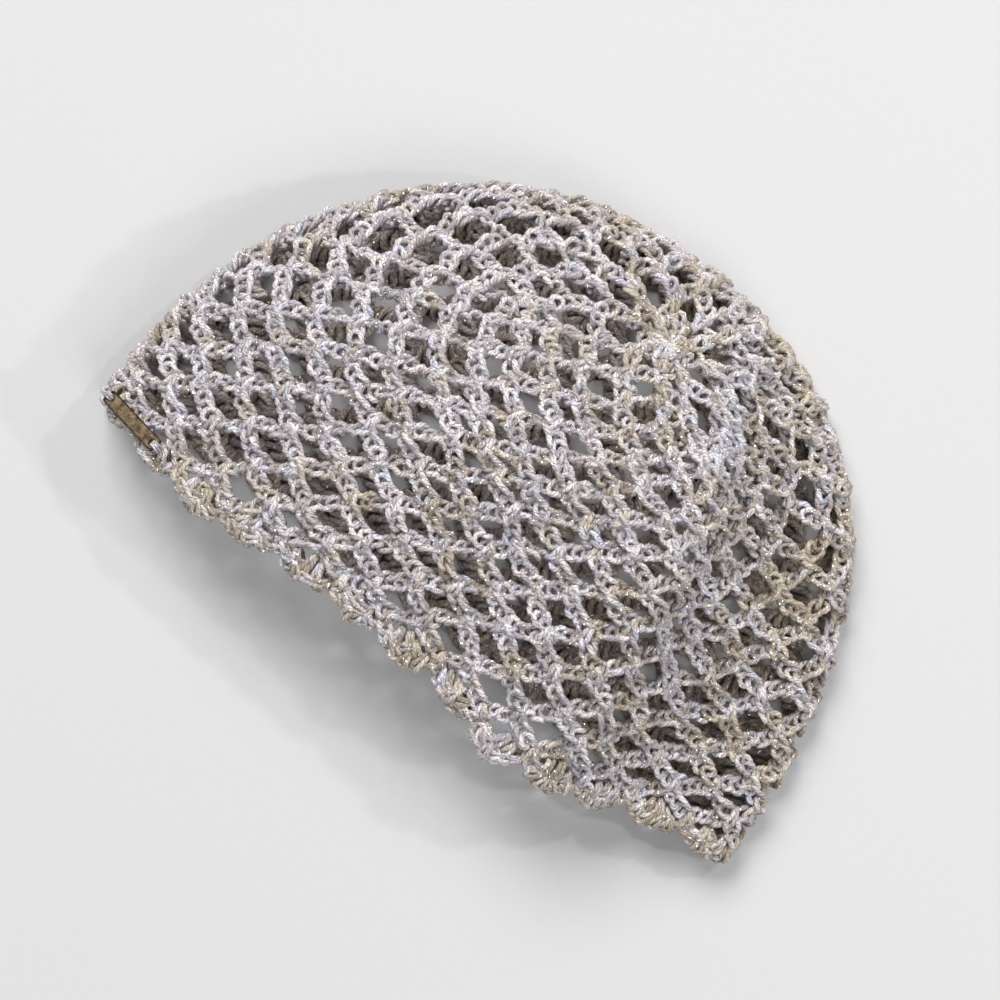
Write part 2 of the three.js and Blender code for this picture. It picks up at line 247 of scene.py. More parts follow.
FLOOR_SIZE = 6.0
FLOOR_COLOURS = ((0.625, 0.625, 0.62), (0.645, 0.645, 0.64))
WHITE = (1.0, 1.0, 1.0)
ROSY_WHITE = (1.0, 0.985, 0.985)
WARM_WHITE = (1.0, 0.98, 0.99)
LIGHTS = (
    {"name": "key_light", "place": (-2.5, 1.9, 3.0), "size": 2.3, "power": 196.0, "colour": ROSY_WHITE},
    {"name": "fill_light", "place": (2.4, -1.0, 2.7), "size": 1.7, "power": 39.0, "colour": WARM_WHITE},
    {"name": "glint_light", "place": (0.6, 1.7, 1.7), "size": 0.12, "power": 9.0, "colour": WHITE},
    {"name": "side_glint_light", "place": (1.7, 0.8, 1.3), "size": 0.12, "power": 9.0, "colour": WHITE},
)
SKY = {"colour": (0.88, 0.92, 1.0, 1.0), "strength": 0.26}


def smooth(low, high, value):
    share = np.clip((value - low) / (high - low), 0.0, 1.0)
    return share * share * (3.0 - 2.0 * share)


def read_table(rows, place, column, at):
    """The value of a table's column between its rows, smooth from row to row."""
    value = np.full(np.shape(at), float(rows[0][column]))
    for lower, upper in zip(rows, rows[1:]):
        value = value + (upper[column] - lower[column]) * smooth(lower[place], upper[place], at)
    return value


def dent_rise(x, y):
    """Raised or sunk places of the upper side."""
    rise = np.zeros_like(x)
    for dent in DENTS:
        turn = math.radians(dent["turn"])
        along = (x - dent["x"]) * math.cos(turn) + (y - dent["y"]) * math.sin(turn)
        across = (y - dent["y"]) * math.cos(turn) - (x - dent["x"]) * math.sin(turn)
        rise += dent["rise"] * np.exp(-((along / dent["length"]) ** 2) - (across / dent["width"]) ** 2)
    return rise


def upper_height(x, y):
    ridge = read_table(RIDGE_SECTIONS, "y", "x", y)
    slack = 1.0 + (SLACK_KEEP - 1.0) * smooth(ridge - SLACK_LEAD, ridge + SLACK_WIDTH, x)
    fold = read_table(RIDGE_SECTIONS, "y", "rise", y) * np.exp(-(((x - ridge) / RIDGE_WIDTH) ** 2))
    return read_table(HEIGHT_SECTIONS, "y", "top", y) * slack + fold + dent_rise(x, y)


def hat_points(dome):
    """Directions on the unit dome (x right, y crown, z up) become points of the lying hat's outer face."""
    dx, dy, dz = dome[..., 0], dome[..., 1], dome[..., 2]
    flat = np.maximum(np.hypot(dx, dy), 1e-9)
    shoulder = ((np.abs(dx) / flat) ** FULLNESS + (np.abs(dy) / flat) ** FULLNESS) ** (-1.0 / FULLNESS)
    top = smooth(*TOP_SPAN, dy)
    mouth = (1.0 - np.minimum(dy, 1.0)) ** MOUTH_FADE
    crown_shift = CROWN_SHIFT * np.maximum(dz, 0.0) / CROWN_HEIGHT
    x = HALF_WIDTH * dx * shoulder + top * (TOP_SHIFT + crown_shift)
    reach = np.where(dz > 0.0, read_table(UPPER_BRIM_SECTIONS, "x", "reach", x), LOWER_BRIM_RETREAT)
    y = DEPTH * dy * shoulder - reach * dz * mouth
    fold = LEFT_FOLD_HEIGHT + (RIGHT_FOLD_HEIGHT - LEFT_FOLD_HEIGHT) * smooth(*FOLD_SPAN, x)
    share = np.maximum(1.0 + np.minimum(dz, 0.0) / FLAT_FROM, 0.0)
    under = fold * (1.0 - np.sqrt(1.0 - share * share))
    over = fold + (upper_height(x, y) - fold) * dz
    return np.stack([x, y, np.where(dz >= 0.0, over, under)], axis=-1)


class NetSurface:
    """The hat's outer face by round and by share round the hat, from the middle of the upper front."""

    FIRST, LAST, STEP = 0.05, 19.9, 0.05
    SAMPLES, COLUMNS = 240, 360

    def __init__(self):
        self.rounds = np.arange(self.FIRST, self.LAST, self.STEP)
        places = [row["round"] for row in FRONT_ROUNDS]
        front = np.radians(np.interp(self.rounds, places, [row["angle"] for row in FRONT_ROUNDS]))
        held = 1.0 - np.minimum(self.rounds / ROUNDS, 1.0) ** TILT_HOLD
        tilt = (math.radians(CROWN_TILT) * held ** TILT_FADE)[:, None]
        reach = front[:, None] - tilt
        turn = (math.pi / 2 + np.arange(self.SAMPLES) / self.SAMPLES * 2 * math.pi)[None, :]
        side, up = np.sin(reach) * np.cos(turn), np.sin(reach) * np.sin(turn)
        crown = np.cos(reach) + 0.0 * turn
        tilted = [side, crown * np.cos(tilt) - up * np.sin(tilt), crown * np.sin(tilt) + up * np.cos(tilt)]
        self.points = np.stack([self.spaced(loop) for loop in hat_points(np.stack(tilted, axis=-1))])
        around = np.roll(self.points, -1, axis=1) - np.roll(self.points, 1, axis=1)
        along = np.gradient(self.points, axis=0)
        normals = np.cross(around, along)
        self.normals = normals / np.linalg.norm(normals, axis=-1, keepdims=True)
        self.toward_brim = along / np.linalg.norm(along, axis=-1, keepdims=True)

    def spaced(self, loop):
        """The same loop with points at even lengths."""
        closed = np.vstack([loop, loop[:1]])
        lengths = np.concatenate([[0.0], np.cumsum(np.linalg.norm(np.diff(closed, axis=0), axis=1))])
        wanted = np.arange(self.COLUMNS) / self.COLUMNS * lengths[-1]
        return read_along(lengths, closed, wanted)

    def read(self, grid, rounds, shares):
        """A grid's values between its rounds and columns."""
        last_row = len(self.rounds) - 1.001
        row = np.clip((np.asarray(rounds) - self.FIRST) / self.STEP, 0, last_row)
        column = np.asarray(shares) % 1.0 * self.COLUMNS
        low_row, low_column = np.floor(row).astype(int), np.floor(column).astype(int)
        row_part, column_part = (row - low_row)[..., None], (column - low_column)[..., None]
        left, right = low_column % self.COLUMNS, (low_column + 1) % self.COLUMNS
        upper = grid[low_row, left] * (1 - column_part) + grid[low_row, right] * column_part
        lower = grid[low_row + 1, left] * (1 - column_part) + grid[low_row + 1, right] * column_part
        return upper * (1 - row_part) + lower * row_part

    def frame_at(self, rounds, shares):
        """Places in the middle of the net's thickness, with the outward direction."""
        outward = self.read(self.normals, rounds, shares)
        return self.read(self.points, rounds, shares) - outward * NET_DEPTH, outward


def read_along(lengths, rows, wanted):
    """The points of a route, given by length along it, at other lengths."""
    return np.stack([np.interp(wanted, lengths, rows[:, axis]) for axis in range(3)], axis=-1)


net = NetSurface()


def lay_feet():
    """The feet of every round, and which feet of the next round hold each loop."""
    shares = np.arange(LOOP_COUNTS[0]) / LOOP_COUNTS[0]
    layout = []
    for number in range(FOOT_ROUNDS + 1):
        count = len(shares)
        wander = rng.normal(0.0, FOOT_WANDER_SHARE, count) / count
        heights = max(number, START_RING_AT) + rng.normal(0.0, FOOT_WANDER_ROUND, count) * min(number, 1)
        layout.append({"rounds": heights, "shares": shares + wander, "holds": []})
        if number == FOOT_ROUNDS:
            break
        wanted = LOOP_COUNTS.get(number + 1, count)
        start = rng.random()
        doubled = {int((i + start) * count / (wanted - count)) % count for i in range(wanted - count)}
        feet = []
        for j in range(count):
            end = shares[j + 1] if j + 1 < count else shares[0] + 1.0
            places = TWO_FEET if j in doubled else ONE_FOOT
            layout[-1]["holds"].append([len(feet) + i for i in range(len(places))])
            feet += [shares[j] + (end - shares[j]) * place for place in places]
        shares = np.array(feet)
        even = np.arange(wanted) / wanted
        shares += (even + (shares - even).mean() - shares) * EVENING
    return layout


def loop_route(start, holds, end, arc_fall):
    """A loop's route over the net: from a foot, through the stitches that hold it, to the next foot."""
    shares = np.linspace(0.0, 1.0, ROUTE_STEPS)[1:]
    slack = LOOP_SLACK * np.sin(math.pi * shares)
    fall = 1.0 - (1.0 - shares) ** arc_fall
    rounds, around = [start[0] + FOOT_HALF], [start[1]]
    first, last = holds[0], holds[-1]
    rounds = np.concatenate([rounds, rounds[0] + (first[0] - rounds[0]) * fall + slack])
    around = np.concatenate([around, start[1] + (first[1] - start[1]) * shares])
    for near, far in zip(holds, holds[1:]):
        rounds = np.concatenate([rounds, near[0] + (far[0] - near[0]) * shares + 2.0 * slack])
        around = np.concatenate([around, near[1] + (far[1] - near[1]) * shares])
    top = end[0] + FOOT_HALF
    rise = fall[-2::-1]
    rounds = np.concatenate([rounds, top + (last[0] - top) * rise + slack[-2::-1], [top]])
    around = np.concatenate([around, last[1] + (end[1] - last[1]) * shares])
    return rounds, around


def chain_curve(rounds, shares, rolls):
    """The yarn's path in a crochet chain along a route: each stitch is a loop drawn through the last one."""
    centre, outward = net.frame_at(rounds, shares)
    steps = np.linalg.norm(np.diff(centre, axis=0), axis=1)
    length = steps.sum()
    count = max(CHAIN_FEWEST, round(length / CHAIN_PITCH))
    pitch = length / count

    # The route goes on straight for two stitches past each end
    lead = 2.0 * pitch
    before = centre[0] - (centre[1] - centre[0]) / steps[0] * lead
    after = centre[-1] + (centre[-1] - centre[-2]) / steps[-1] * lead
    centre = np.vstack([before, centre, after])
    outward = np.vstack([outward[:1], outward, outward[-1:]])
    at = np.concatenate([[-lead, 0.0], np.cumsum(steps), [length + lead]])

    # Each stitch is uneven in its own way, which fades where it meets the next one
    turns = np.arange(-CHAIN_LEAD, count + CHAIN_LEAD, 1.0 / CHAIN_STEPS)
    wave = 2.0 * math.pi * turns
    out_drift, roll_drift, across_drift, _ = rng.uniform(0.0, 2.0 * math.pi, 4)
    stitch = np.floor(turns + 0.5).astype(int)
    swing_uneven, width_uneven, _ = rng.normal(0.0, 1.0, (count + 3, 3))[stitch + 1].T
    blend = np.abs(np.sin(math.pi * (turns + 0.5))) ** 0.5
    swing = CHAIN_SWING * (1.0 + CHAIN_UNEVEN["swing"] * swing_uneven * blend)
    along = (turns + swing * np.sin(wave)) * pitch

    # The yarn's place across the chain and outwards from it, and the chain's roll about its length
    pressed = smooth(PRESSED_BELOW, PRESSED_FULLY, np.interp(along, at, centre[:, 2]))
    width = CHAIN_HALF_WIDTH * (1.0 + CHAIN_UNEVEN["width"] * width_uneven * blend)
    width *= 1.0 + PRESSED_WIDER * pressed
    across = width * np.sin(wave + CHAIN_ACROSS_PHASE * math.pi)
    across += CHAIN_WANDER * np.sin(CHAIN_WANDER_RATES["across"] * turns + across_drift)
    dips = (dip["size"] * np.cos(dip["waves"] * wave + dip["phase"] * math.pi) for dip in CHAIN_DIPS)
    out = CHAIN_DEPTH * sum(dips)
    out += CHAIN_WANDER * np.sin(CHAIN_WANDER_RATES["out"] * turns + out_drift)
    roll = np.interp(along / length, np.linspace(0.0, 1.0, len(rolls)), rolls)
    roll += CHAIN_ROLL_WANDER * np.sin(CHAIN_WANDER_RATES["roll"] * turns + roll_drift)

    place, up = read_along(at, centre, along), read_along(at, outward, along)
    ahead = read_along(at, centre, along + SLOPE_REACH) - read_along(at, centre, along - SLOPE_REACH)
    ahead /= np.maximum(np.linalg.norm(ahead, axis=1, keepdims=True), 1e-9)
    up -= ahead * (up * ahead).sum(1, keepdims=True)
    up /= np.linalg.norm(up, axis=1, keepdims=True)
    side = np.cross(up, ahead)
    across_turned = across * np.cos(roll) - out * np.sin(roll)
    out_turned = across * np.sin(roll) + out * np.cos(roll)
    second_half = smooth(*LIFT_SPAN, along / length)
    out_turned += FIRST_HALF_LIFT + (SECOND_HALF_LIFT - FIRST_HALF_LIFT) * second_half
    return place + side * across_turned[:, None] + up * out_turned[:, None]


def post_curves(round_number, share, uneven=1.0, slant=0.0):
    """The stitch that holds a loop: two legs round the chain, and the head that the next loops leave."""
    place, up = net.frame_at(round_number, share)
    toward = net.read(net.toward_brim, round_number, share)
    ahead = toward * math.cos(slant) + np.cross(up, toward) * math.sin(slant)
    side = np.cross(up, ahead)
    angle = np.arange(POST_STEPS) / POST_STEPS * 2.0 * math.pi
    lean = rng.normal(0.0, POST_UNEVEN["lean"]) * uneven
    lift = rng.normal(POST_LIFT, POST_UNEVEN["lift"]) * uneven
    shapes = []
    for leg in (-1.0, 1.0):
        reach = LEG["reach"] + rng.normal(0.0, POST_UNEVEN["reach"]) * uneven
        along = np.cos(angle) * reach - LEG["back"]
        across = leg * (LEG["spread"] + LEG["bulge"] * np.cos(angle)) + lean * np.cos(angle)
        shapes.append((along, across, np.sin(angle) * LEG["height"] + lift))
    along = HEAD["ahead"] + HEAD["half_length"] * np.sin(angle)
    out = HEAD["height"] - HEAD["dip"] * np.cos(2.0 * angle) + lift
    shapes.append((along, HEAD["half_width"] * np.cos(angle), out))
    return [
        place + np.outer(along, ahead) + np.outer(across, side) + np.outer(out, up)
        for along, across, out in shapes
    ]


class YarnMesh:
    """Gathers lengths of yarn as round tubes that know how far along the yarn they are."""

    def __init__(self, name):
        self.name = name
        self.points, self.faces, self.wraps, self.caps = [], [], [], []
        self.count = 0
        self.length = rng.uniform(0.0, LONGEST_START)

    def add(self, curve, radius=YARN, closed=False):
        """One tube round a curve."""
        steps = len(curve)
        ahead = np.roll(curve, -1, axis=0) - np.roll(curve, 1, axis=0)
        if not closed:
            ahead[0], ahead[-1] = curve[1] - curve[0], curve[-1] - curve[-2]
        ahead /= np.linalg.norm(ahead, axis=1, keepdims=True)
        sides = self.sides(ahead, closed)
        tops = np.cross(ahead, sides)
        angle = (np.arange(YARN_SIDES) / YARN_SIDES * 2.0 * math.pi)[None, :, None]
        ring = sides[:, None, :] * np.cos(angle) + tops[:, None, :] * np.sin(angle)
        gone = np.linalg.norm(np.diff(np.vstack([curve, curve[:1]]), axis=0), axis=1)
        at = self.length + np.concatenate([[0.0], np.cumsum(gone)])
        spread = PRESSED_THICKER * smooth(PRESSED_BELOW, PRESSED_FULLY, curve[:, 2])
        slubs = sum(slub["size"] * np.sin(at[:steps] / slub["over"] + slub["phase"]) for slub in SLUBS)
        thickness = radius * (1.0 + spread + slubs)
        self.points.append((curve[:, None, :] + ring * thickness[:, None, None]).reshape(-1, 3))
        self.cover(steps, at, closed)
        self.length = at[-1]
        self.count += steps * YARN_SIDES

    def sides(self, ahead, closed):
        """A direction across the yarn at each step, carried along it without twist."""
        steps = len(ahead)
        sides = np.empty_like(ahead)
        start = np.cross(ahead[0], ANY_DIRECTION)
        sides[0] = start / np.linalg.norm(start)
        for i in range(1, steps):
            turned = sides[i - 1] - ahead[i] * sides[i - 1].dot(ahead[i])
            sides[i] = turned / math.sqrt(turned.dot(turned))
        if not closed:
            return sides
        last = sides[-1] - ahead[0] * sides[-1].dot(ahead[0])
        twist = math.atan2(np.cross(ahead[0], sides[0]).dot(last), sides[0].dot(last))
        back = (-twist * np.arange(steps) / steps)[:, None]
        return sides * np.cos(back) + np.cross(ahead, sides) * np.sin(back)

    def cover(self, steps, at, closed):
        """Faces of one tube, with the turn round the yarn and the length along it in centimetres."""
        spans = steps if closed else steps - 1
        row, column = np.meshgrid(np.arange(spans), np.arange(YARN_SIDES), indexing="ij")
        next_row, next_column = (row + 1) % steps, (column + 1) % YARN_SIDES
        corners = [
            row * YARN_SIDES + column,
            row * YARN_SIDES + next_column,
            next_row * YARN_SIDES + next_column,
            next_row * YARN_SIDES + column,
        ]
        around = np.stack([column, column + 1, column + 1, column], axis=-1) / YARN_SIDES
        along = np.stack([at[row], at[row], at[row + 1], at[row + 1]], axis=-1) / CENTIMETRE
        self.faces.append((np.stack(corners, axis=-1) + self.count).reshape(-1, 4))
        self.wraps.append(np.stack([around, along], axis=-1).reshape(-1, 2))
        if not closed:
            ring = np.arange(YARN_SIDES)
            self.caps.append((self.count + ring[::-1], at[0]))
            self.caps.append((self.count + (steps - 1) * YARN_SIDES + ring, at[-2]))

    def build(self, look):
        """The gathered tubes as one piece, in metres."""
        points = np.concatenate(self.points) - BOX_MIDDLE
        points[:, 2] = np.maximum(points[:, 2], FLOOR_CLEARANCE)
        quads = np.concatenate(self.faces)
        cap_starts = quads.size + np.arange(len(self.caps)) * YARN_SIDES
        starts = np.concatenate([np.arange(0, quads.size, 4), cap_starts]).astype(int)
        corners = np.concatenate([quads.ravel()] + [ring for ring, _ in self.caps])
        around = np.arange(YARN_SIDES) / YARN_SIDES
        cap_wraps = [
            np.stack([around, np.full_like(around, at / CENTIMETRE)], axis=-1)
            for _, at in self.caps
        ]
        mesh = bpy.data.meshes.new(self.name)
        mesh.vertices.add(len(points))
        mesh.vertices.foreach_set("co", (points * MM).ravel())
        mesh.loops.add(len(corners))
        mesh.loops.foreach_set("vertex_index", corners)
        mesh.polygons.add(len(starts))
        mesh.polygons.foreach_set("loop_start", starts)
        mesh.polygons.foreach_set("use_smooth", np.ones(len(starts), dtype=bool))
        layer = mesh.uv_layers.new(name="yarn")
        layer.data.foreach_set("uv", np.concatenate(self.wraps + cap_wraps).ravel())
        mesh.update()
        mesh.validate()
        return add_piece(self.name, mesh, look)


def add_piece(name, mesh, look):
    mesh.materials.clear()
    mesh.materials.append(look)
    piece = bpy.data.objects.new(name, mesh)
    bpy.context.collection.objects.link(piece)
    return piece


def settle(piece, slot, *nodes):
    """The piece rides with the hat and stands for its CAD nodes; its slot is not used."""
    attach(piece, "root")
    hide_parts(*nodes)


def work_stitch(yarn, round_number, share, uneven=1.0, slant=0.0):
    for curve in post_curves(round_number, share, uneven, slant):
        yarn.add(curve, radius=STITCH_YARN, closed=True)


def work_edge_stitch(yarn, round_number, share):
    work_stitch(yarn, round_number, share, EDGE_UNEVEN, rng.normal(0.0, EDGE_SLANT))


def work_lobe(yarn, route, start, end):
    """The stitches along a free loop's chain, and those that fill the loop."""
    rounds, shares = route
    index = np.arange(len(rounds))
    for place in EDGE_STITCHES:
        at = place * (len(rounds) - 1)
        work_edge_stitch(yarn, np.interp(at, index, rounds), np.interp(at, index, shares))
    for filling in LOBE_FILLING:
        across = start[1] + (end[1] - start[1]) * filling["across"]
        work_edge_stitch(yarn, start[0] + filling["below_foot"], across)


def work_round(yarn, layout, number):
    """One round: its stitches, and the loops between them that the next round holds."""
    row = layout[number]
    rounds, shares = row["rounds"], row["shares"]
    count = len(shares)
    free = number == FOOT_ROUNDS
    for j in range(count):
        work_stitch(yarn, rounds[j], shares[j])
        following = (j + 1) % count
        start = (rounds[j], shares[j])
        end = (rounds[following], shares[following] + (1.0 if following == 0 else 0.0))
        if free:
            lowest = start[0] + FREE_LOOP_DROP + rng.normal(0.0, FREE_LOOP_UNEVEN)
            holds = [(lowest, (start[1] + end[1]) / 2)]
        else:
            below = layout[number + 1]
            holds = [(below["rounds"][i] - FOOT_HALF, below["shares"][i]) for i in row["holds"][j]]
        rolls = np.array(CHAIN_ROLLS) + rng.normal(0.0, CHAIN_ROLL_UNEVEN, len(CHAIN_ROLLS))
        route = loop_route(start, holds, end, FREE_ARC_FALL if free else HELD_ARC_FALL)
        yarn.add(chain_curve(*route, rolls))
        if free:
            work_lobe(yarn, route, start, end)


# Looks
class Wire:
    """A socket that takes part in sums, so that a look reads like arithmetic."""

    def __init__(self, look, socket):
        self.look, self.socket = look, socket

    def math(self, operation, *others):
        inputs = {i: value for i, value in enumerate((self, *others))}
        return self.look.node("ShaderNodeMath", {"operation": operation}, inputs)

    def __add__(self, other):
        return self.math("ADD", other)

    def __radd__(self, other):
        return self.math("ADD", other)

    def __sub__(self, other):
        return self.math("SUBTRACT", other)

    def __rsub__(self, other):
        return self * -1.0 + other

    def __mul__(self, other):
        return self.math("MULTIPLY", other)

    def __rmul__(self, other):
        return self.math("MULTIPLY", other)

    def __pow__(self, other):
        return self.math("POWER", other)

    def sine(self):
        return self.math("SINE")

    def positive(self):
        return self.math("ABSOLUTE")

    def part(self):
        """What is left of a number without its whole turns."""
        return self.math("FRACT")

    def between(self, low, high):
        """0 at low, 1 at high, smooth in between and level outside."""
        inputs = {"Value": self, "From Min": low, "From Max": high}
        return self.look.node("ShaderNodeMapRange", {"interpolation_type": "SMOOTHSTEP"}, inputs)


class Look:
    """A material under construction."""

    FIRST_COLOUR, SECOND_COLOUR, MIXED_COLOUR = 6, 7, 2  # sockets of the Mix node

    def __init__(self, name):
        self.material = bpy.data.materials.new(name)
        self.material.use_nodes = True
        self.tree = self.material.node_tree
        self.shader = self.tree.nodes["Principled BSDF"]

    def node(self, kind, settings=None, inputs=None, output=0):
        node = self.tree.nodes.new(kind)
        for key, value in (settings or {}).items():
            setattr(node, key, value)
        for key, value in (inputs or {}).items():
            self.feed(node.inputs[key], value)
        return Wire(self, node.outputs[output])

    def feed(self, socket, value):
        if isinstance(value, Wire):
            self.tree.links.new(value.socket, socket)
        elif isinstance(value, tuple) and socket.type == "RGBA":
            socket.default_value = (*value, 1.0)
        else:
            socket.default_value = value

    def place(self):
        """The place on the object, in metres."""
        return self.node("ShaderNodeTexCoord", output="Object")

    def split(self, vector, axis):
        return self.node("ShaderNodeSeparateXYZ", {}, {0: vector}, output=axis)

    def vector(self, operation, inputs):
        return self.node("ShaderNodeVectorMath", {"operation": operation}, inputs)

    def mix(self, share, first, second):
        inputs = {"Factor": share, self.FIRST_COLOUR: first, self.SECOND_COLOUR: second}
        return self.node("ShaderNodeMix", {"data_type": "RGBA"}, inputs, output=self.MIXED_COLOUR)

    def noise(self, place, scale, detail=2.0, roughness=0.5):
        inputs = {"Vector": place, "Scale": scale, "Detail": detail, "Roughness": roughness}
        return self.node("ShaderNodeTexNoise", {"noise_dimensions": "3D"}, inputs)

    def noise_along(self, length, scale, detail=2.0, roughness=0.5):
        inputs = {"W": length, "Scale": scale, "Detail": detail, "Roughness": roughness}
        return self.node("ShaderNodeTexNoise", {"noise_dimensions": "1D"}, inputs)

    def bump(self, height, distance):
        return self.node("ShaderNodeBump", {}, {"Height": height, "Distance": distance, "Strength": 1.0})

    def set(self, **values):
        for key, value in values.items():
            self.feed(self.shader.inputs[key.replace("_", " ").title()], value)


def cotton_colour(look, place, along, sand):
    """Silver grey and cream, sandy in patches, warmer towards the right and the crown (partly its own
    colour, partly painted warm shade), with a painted highlight that makes it paler and bluer on the crest
    of the fold and painted shade that makes it darker and browner low down.
    """
    colours = YARN_COLOURS
    tint = look.noise_along(along, scale=0.10, detail=3.0, roughness=0.65)
    patch = look.noise(place, scale=34.0)
    right = look.split(place, "X")
    crown = look.split(place, "Y")
    # Warmer towards the right and the crown: partly the yarn's own colour, partly painted warm shade on that
    # side
    warm_and_shaded_side = (right + crown * WARM_AND_SHADED_SIDE["lean"]).between(*WARM_AND_SHADED_SIDE["span"])
    # Painted highlight: a paler, bluer band along the crest of the fold, which loses its warmth there
    from_crest_highlight = (right + crown * CREST_HIGHLIGHT["lean"] + patch * CREST_HIGHLIGHT["wander"] - CREST_HIGHLIGHT["at"]).positive()
    crest_highlight = 1.0 - from_crest_highlight.between(*CREST_HIGHLIGHT["edge"])
    crest_highlight = crest_highlight * crown.between(*CREST_HIGHLIGHT_SPAN) * CREST_HIGHLIGHT["strength"]
    warm = tint * WARMTH["tint"] + patch * WARMTH["patch"] + warm_and_shaded_side * WARMTH["side"] + sand
    warm = warm.between(*WARMTH["span"]) * (1.0 - crest_highlight)
    pale = look.noise_along(along + PALE["start"], scale=0.5).between(*PALE["span"])
    # The painted crest highlight also makes the yarn paler and bluer there
    pale = pale + (1.0 - pale) * crest_highlight * CREST_HIGHLIGHT["paler"]
    hue = look.noise_along(along + HUE["start"], scale=0.8, detail=1.0).between(*HUE["span"])
    bright = look.mix(hue * (1.0 - crest_highlight), colours["bluish"], colours["rosy"])
    cool = look.mix(pale, colours["grey"], bright)
    sandy = look.mix(pale, colours["khaki"], colours["sand"])
    painted_shade_tan = look.mix(pale, colours["painted_shade_brown"], colours["painted_shade_tan"])
    # Painted shade: the yarn darker and browner low down, under the hat
    low = (look.split(place, "Z") + patch * PAINTED_LOW_SHADE["wander"]).between(*PAINTED_LOW_SHADE["span"])
    return look.mix(low * PAINTED_LOW_SHADE["strength"], look.mix(warm, cool, sandy), painted_shade_tan)


def yarn_look(name, sand):
    """Plied cotton with a metallic filament wound round it, and more or less sand in its colour."""
    look = Look(name)
    wrap = look.node("ShaderNodeUVMap", {"uv_map": "yarn"})
    around = look.split(wrap, "X")
    along = look.split(wrap, "Y")
    place = look.place()

    fibre_turn = around * FIBRES["around"] + along * FIBRES["along"]
    fibre_place = look.node("ShaderNodeCombineXYZ", {}, {"X": fibre_turn, "Y": along * FIBRES["stretch"]})
    fibres = look.noise(fibre_place, scale=5.0, detail=3.0, roughness=0.7)
    slub = look.noise_along(along, scale=5.0)
    ply = (around * PLIES["around"] + along * PLIES["along"] + slub * PLIES["wander"]) * math.pi
    ridge = ply.sine().positive()
    height = ridge ** PLIES["roundness"] + fibres * FIBRES["rise"]
    shade = ridge.between(*SHADE["span"]) * SHADE["ridge"] + SHADE["groove"]
    shade = shade * (fibres * SHADE["fibres"] + SHADE["between_fibres"])
    cotton = look.vector("SCALE", {0: cotton_colour(look, place, along, sand), "Scale": shade})

    winding = (around + along * FILAMENT["along"] + FILAMENT["wander"] * fibres).part()
    unbroken = look.noise_along(along, scale=2.6, detail=1.0).between(*FILAMENT["breaks"])
    filament = (1.0 - (winding - 0.5).positive().between(*FILAMENT["edge"])) * unbroken

    # Each flake of the filament leans its own way, so that single ones glint
    flake = look.node("ShaderNodeTexVoronoi", {}, {"Vector": place, "Scale": 2200.0}, output="Color")
    facing = look.vector("SUBTRACT", {0: flake, 1: (0.5, 0.5, 0.5)})
    lean = look.vector("SCALE", {0: facing, "Scale": FILAMENT["lean"] * filament})
    tipped = look.vector("ADD", {0: look.bump(height, YARN_RELIEF), 1: lean})
    look.set(
        base_color=look.mix(filament, cotton, YARN_COLOURS["filament"]),
        metallic=filament,
        roughness=COTTON_ROUGHNESS - FILAMENT_SMOOTHER * filament,
        normal=look.vector("NORMALIZE", {0: tipped}),
        sheen_weight=0.12,
        sheen_roughness=0.5,
    )
    return look.material


def metal_look(name, stained, polished):
    """Antique bronze, from its stained to its polished colour, brushed by handling."""
    look = Look(name)
    place = look.place()
    wear = look.noise(place, scale=1500.0, detail=4.0, roughness=0.65)
    stain = look.noise(place, scale=420.0, detail=3.0)
    worn = (wear * BRONZE["wear"] + stain * BRONZE["stain"]).between(*BRONZE["span"])
    look.set(
        base_color=look.mix(worn, stained, polished),
        metallic=0.85,
        roughness=BRONZE["roughness"] - worn * BRONZE["smoother"],
        normal=look.bump(wear + stain, BRONZE_RELIEF),
    )
    return look.material


def floor_look():
    look = Look("pale_floor")
    grain = look.noise(look.place(), scale=300.0)
    look.set(base_color=look.mix(grain, *FLOOR_COLOURS), roughness=0.95)
    return look.material


silver_yarn = yarn_look("silver_yarn", sand=0.0)
sandy_yarn = yarn_look("sandy_yarn", sand=0.085)
face_bronze = metal_look("antique_bronze", stained=(0.042, 0.029, 0.016), polished=(0.122, 0.086, 0.048))
edge_bronze = metal_look("dark_edge_bronze", stained=(0.010, 0.007, 0.006), polished=(0.035, 0.022, 0.016))

# The hat, worked from the start ring to the brim
PIECES = [
    {"name": "crown_stitches", "first": 0, "last": 5, "node": "crown_net", "look": silver_yarn},
    {"name": "upper_side_stitches", "first": 6, "last": 9, "node": "side_net", "look": silver_yarn},
    {"name": "middle_side_stitches", "first": 10, "last": 13, "node": "side_net", "look": silver_yarn},
    {"name": "lower_side_stitches", "first": 14, "last": 17, "node": "side_net", "look": silver_yarn},
    {"name": "brim_edging_stitches", "first": 18, "last": 18, "node": "brim_edging", "look": sandy_yarn},
]


def work_hat():
    layout = lay_feet()
    for piece in PIECES:
        yarn = YarnMesh(piece["name"])
        if piece["first"] == 0:
            ring = np.linspace(0.0, 1.0, START_RING_STEPS)
            yarn.add(chain_curve(np.full(START_RING_STEPS, START_RING_AT), ring, [0.0, 0.0]))
        for number in range(piece["first"], piece["last"] + 1):
            work_round(yarn, layout, number)
        settle(yarn.build(piece["look"]), "yarn", piece["node"])


